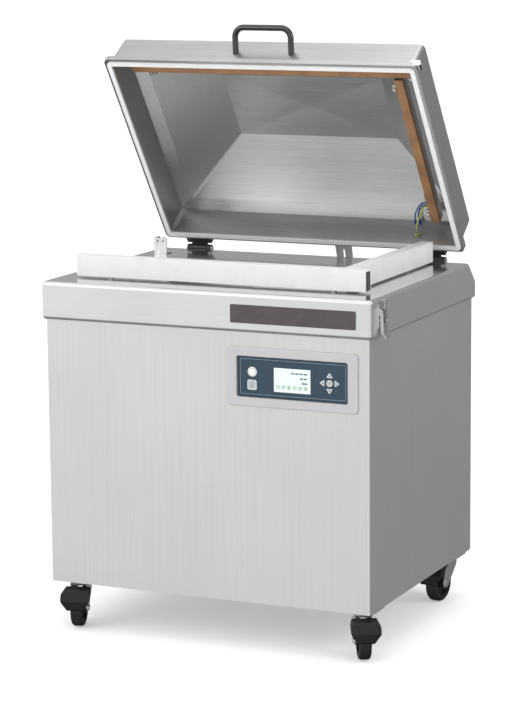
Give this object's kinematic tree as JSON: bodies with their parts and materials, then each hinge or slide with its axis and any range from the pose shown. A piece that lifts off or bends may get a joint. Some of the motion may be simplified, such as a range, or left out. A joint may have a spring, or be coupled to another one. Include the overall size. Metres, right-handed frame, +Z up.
{
  "type": "vacuum packing machine",
  "caption": "Floor-standing chamber vacuum packing machine with a hinged hood lid, L-shaped sealing bars, a front control panel and swivel casters.",
  "frame": {"origin": "on the floor under the middle of the whole machine's box, lid open", "axes": "+X to the machine's right seen from its front, +Y towards its back, +Z up"},
  "size_m": [0.9524, 0.8192, 1.5806],
  "materials": {
    "cabinet_steel": "brushed stainless sheet",
    "base_steel": "folded stainless sheet",
    "table_steel": "polished stainless sheet",
    "hood_steel": "satin stainless sheet",
    "handle_steel": "dark polished tube",
    "small_steel": "polished steel",
    "plate_grey": "brown-grey printed plate",
    "bezel_grey": "satin silver frame",
    "face_blue": "dark blue-grey panel",
    "display_white": "bright display",
    "key_white": "white key",
    "key_grey": "grey key",
    "board_green": "circuit board",
    "gasket_white": "white silicone",
    "bar_white": "white machined plastic",
    "silicone_white": "white silicone strip",
    "seal_aluminium": "extruded bar",
    "tape_brown": "brown glass-cloth tape",
    "hinge_black": "black coated steel",
    "spring_black": "black gas spring",
    "zinc": "zinc-plated pressing",
    "wheel_black": "black tread and hub",
    "pedal_black": "black moulded pedal",
    "pump_paint": "painted casting",
    "motor_paint": "painted motor",
    "hose_black": "reinforced hose",
    "transformer_iron": "lacquered core and winding",
    "gland_black": "cable gland",
    "lead_blue": "blue lead",
    "lead_earth": "yellow-green lead",
    "lead_black": "black lead",
    "sleeve_red": "red sleeve"
  },
  "bodies": {
    "cabinet": {"base_frame": "base_steel", "front_panel": "cabinet_steel", "side_panels": "cabinet_steel", "rear_panel": "cabinet_steel", "table_top": "table_steel", "name_plate": "plate_grey", "vacuum_port": "small_steel", "corner_post": "small_steel", "power_inlet": "gland_black", "control_bezel": "bezel_grey", "control_face": "face_blue", "control_display": "display_white", "control_board": "board_green", "vacuum_pump": "pump_paint", "pump_motor": "motor_paint", "suction_hose": "hose_black", "seal_transformer": "transformer_iron", "hinge_bases": "hinge_black", "hinge_pins": "small_steel", "gas_spring_cylinder": "spring_black", "latch_base": "small_steel", "lift_cylinders": "seal_aluminium", "caster_plates": "zinc"},
    "lid": {"lid_hood": "hood_steel", "lid_gasket": "gasket_white", "lid_handle": "handle_steel", "latch_keeper": "small_steel", "hinge_arms": "hinge_black", "spring_arm": "zinc", "seal_bar_front": "seal_aluminium", "seal_bar_side": "seal_aluminium", "seal_tapes": "tape_brown", "lid_studs": "small_steel", "seal_leads_blue": "lead_blue", "seal_lead_earth": "lead_earth", "seal_lead_black": "lead_black", "lead_sleeves": "sleeve_red"},
    "spring_rod": {"gas_spring_rod": "small_steel"},
    "latch_arm": {"latch_lever": "small_steel"},
    "latch_claw": {"latch_hook": "small_steel"},
    "counter_front": {"counter_bar_front": "bar_white", "silicone_strip_front": "silicone_white"},
    "counter_side": {"counter_bar_side": "bar_white", "silicone_strip_side": "silicone_white"},
    "key_stop": {"stop_button": "key_white"},
    "key_menu": {"menu_button": "key_grey"},
    "key_arrows": {"arrow_pad": "key_grey"},
    "key_enter": {"enter_key": "key_grey"},
    "swivel_front_left": {"caster_fork_front_left": "zinc"},
    "wheel_front_left": {"caster_wheel_front_left": "wheel_black"},
    "pedal_front_left": {"caster_pedal_front_left": "pedal_black"},
    "swivel_front_right": {"caster_fork_front_right": "zinc"},
    "wheel_front_right": {"caster_wheel_front_right": "wheel_black"},
    "pedal_front_right": {"caster_pedal_front_right": "pedal_black"},
    "swivel_rear_left": {"caster_fork_rear_left": "zinc"},
    "wheel_rear_left": {"caster_wheel_rear_left": "wheel_black"},
    "pedal_rear_left": {"caster_pedal_rear_left": "pedal_black"},
    "swivel_rear_right": {"caster_fork_rear_right": "zinc"},
    "wheel_rear_right": {"caster_wheel_rear_right": "wheel_black"},
    "pedal_rear_right": {"caster_pedal_rear_right": "pedal_black"}
  },
  "joints": [
    {"name": "lid_hinge", "type": "hinge", "parent": "cabinet", "child": "lid", "pos_m": [-0.01217, 0.34735, 0.931], "axis": [1, 0, 0], "range_deg": [0, 55]},
    {"name": "gas_spring_slide", "type": "slide", "parent": "cabinet", "child": "spring_rod", "axis": [0, 0, 1], "range_m": [0, 0.0509]},
    {"name": "latch_lever_hinge", "type": "hinge", "parent": "cabinet", "child": "latch_arm", "pos_m": [0.45983, -0.31565, 0.896], "axis": [0, -1, 0], "range_deg": [0, 100]},
    {"name": "latch_hook_hinge", "type": "hinge", "parent": "latch_arm", "child": "latch_claw", "pos_m": [0.45983, -0.31565, 0.878], "axis": [0, -1, 0], "range_deg": [-100, 0]},
    {"name": "counter_front_lift", "type": "slide", "parent": "cabinet", "child": "counter_front", "axis": [0, 0, 1], "range_m": [0, 0.005]},
    {"name": "counter_side_lift", "type": "slide", "parent": "cabinet", "child": "counter_side", "axis": [0, 0, 1], "range_m": [0, 0.005]},
    {"name": "stop_press", "type": "slide", "parent": "cabinet", "child": "key_stop", "axis": [0, 1, 0], "range_m": [0, 0.0015], "stiffness_N_per_m": 500},
    {"name": "menu_press", "type": "slide", "parent": "cabinet", "child": "key_menu", "axis": [0, 1, 0], "range_m": [0, 0.001], "stiffness_N_per_m": 500},
    {"name": "arrow_press", "type": "slide", "parent": "cabinet", "child": "key_arrows", "axis": [0, 1, 0], "range_m": [0, 0.001], "stiffness_N_per_m": 500},
    {"name": "enter_press", "type": "slide", "parent": "cabinet", "child": "key_enter", "axis": [0, 1, 0], "range_m": [0, 0.001], "stiffness_N_per_m": 500},
    {"name": "swivel_front_left", "type": "hinge", "parent": "cabinet", "child": "swivel_front_left", "pos_m": [-0.41717, -0.29965, 0.112], "axis": [0, 0, 1], "continuous": true},
    {"name": "spin_front_left", "type": "hinge", "parent": "swivel_front_left", "child": "wheel_front_left", "pos_m": [-0.40606, -0.33599, 0.05], "axis": [0.9563, 0.2924, 0], "continuous": true},
    {"name": "pedal_front_left", "type": "hinge", "parent": "swivel_front_left", "child": "pedal_front_left", "pos_m": [-0.416, -0.30348, 0.1], "axis": [0.9563, 0.2924, 0], "range_deg": [0, 3.5]},
    {"name": "swivel_front_right", "type": "hinge", "parent": "cabinet", "child": "swivel_front_right", "pos_m": [0.39283, -0.29965, 0.112], "axis": [0, 0, 1], "continuous": true},
    {"name": "spin_front_right", "type": "hinge", "parent": "swivel_front_right", "child": "wheel_front_right", "pos_m": [0.41125, -0.33289, 0.05], "axis": [0.8746, 0.4848, 0], "continuous": true},
    {"name": "pedal_front_right", "type": "hinge", "parent": "swivel_front_right", "child": "pedal_front_right", "pos_m": [0.39477, -0.30315, 0.1], "axis": [0.8746, 0.4848, 0], "range_deg": [0, 3.5]},
    {"name": "swivel_rear_left", "type": "hinge", "parent": "cabinet", "child": "swivel_rear_left", "pos_m": [-0.41717, 0.30435, 0.112], "axis": [0, 0, 1], "continuous": true},
    {"name": "spin_rear_left", "type": "hinge", "parent": "swivel_rear_left", "child": "wheel_rear_left", "pos_m": [-0.39378, 0.2744, 0.05], "axis": [0.788, 0.6157, 0], "continuous": true},
    {"name": "pedal_rear_left", "type": "hinge", "parent": "swivel_rear_left", "child": "pedal_rear_left", "pos_m": [-0.41471, 0.30119, 0.1], "axis": [0.788, 0.6157, 0], "range_deg": [0, 3.5]},
    {"name": "swivel_rear_right", "type": "hinge", "parent": "cabinet", "child": "swivel_rear_right", "pos_m": [0.39283, 0.30435, 0.112], "axis": [0, 0, 1], "continuous": true},
    {"name": "spin_rear_right", "type": "hinge", "parent": "swivel_rear_right", "child": "wheel_rear_right", "pos_m": [0.3882, 0.26663, 0.05], "axis": [0.9925, -0.1219, 0], "continuous": true},
    {"name": "pedal_rear_right", "type": "hinge", "parent": "swivel_rear_right", "child": "pedal_rear_right", "pos_m": [0.39234, 0.30038, 0.1], "axis": [0.9925, -0.1219, 0], "range_deg": [0, 3.5]}
  ],
  "couplings": [
    {"joint": "gas_spring_slide", "follows": "lid_hinge", "m_per_rad": 0.052912},
    {"joint": "latch_hook_hinge", "follows": "latch_lever_hinge", "ratio": -1},
    {"joint": "counter_side_lift", "follows": "counter_front_lift", "ratio": 1}
  ]
}
